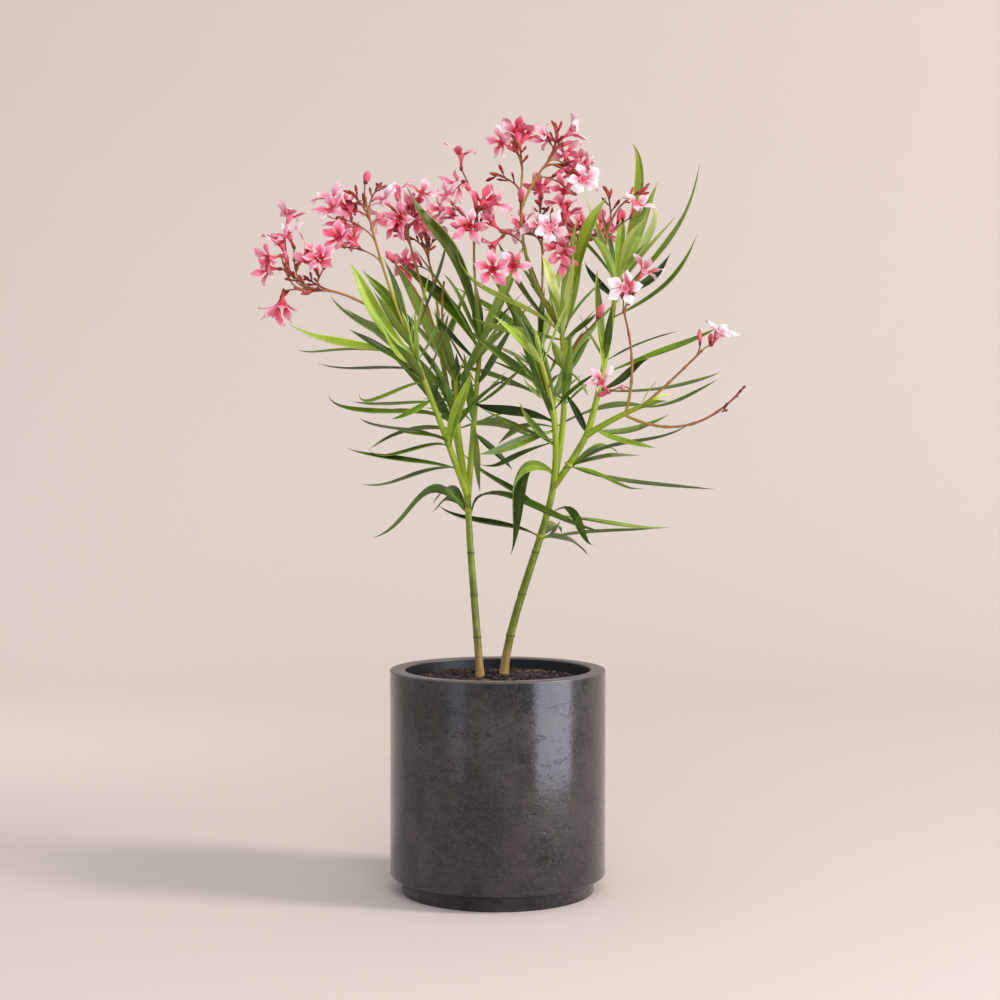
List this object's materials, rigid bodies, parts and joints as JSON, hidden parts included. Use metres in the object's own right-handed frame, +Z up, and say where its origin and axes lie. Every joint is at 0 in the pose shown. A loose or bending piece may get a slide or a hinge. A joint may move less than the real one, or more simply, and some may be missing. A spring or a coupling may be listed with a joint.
{
  "type": "potted oleander",
  "caption": "Slender flowering shrub with lance-shaped leaves in whorls and star-flower trusses on two stems, in a dark cylindrical stone pot filled with soil.",
  "frame": {"origin": "centre of the flat underside of the pot's foot ring", "axes": "+Z up along the pot's axis, +X to the right and -Y towards the viewer of the side shown first"},
  "size_m": [0.5246, 0.3493, 0.8685],
  "materials": {
    "stone": "satin",
    "soil": "matte",
    "bark": "satin",
    "foliage": "satin",
    "blossom": "matte"
  },
  "bodies": {
    "root": {"pot": "stone", "soil": "soil", "stem_left": "bark", "stem_right": "bark", "bough_right": "bark", "shoot_left_arch": "foliage", "shoot_left_slender": "foliage", "shoot_left_inner": "foliage", "shoot_left_back": "foliage", "shoot_right_front": "foliage", "shoot_right_leader": "foliage", "shoot_right_upper": "foliage", "shoot_right_outer": "foliage", "shoot_right_back": "foliage", "whorl_left": "foliage", "whorl_low": "foliage", "whorl_high": "foliage", "whorl_fork": "foliage", "truss_far_left": "blossom", "truss_left_high": "blossom", "truss_stalk_left": "blossom", "truss_slender": "blossom", "truss_centre_left": "blossom", "truss_centre": "blossom", "truss_top": "blossom", "truss_top_right": "blossom", "truss_upper_right": "blossom", "truss_right": "blossom", "truss_right_low": "blossom", "truss_right_rear": "blossom", "truss_right_front": "blossom", "truss_outer": "blossom", "truss_outer_low": "blossom", "truss_back_left": "blossom", "truss_back_right": "blossom"}
  },
  "joints": []
}
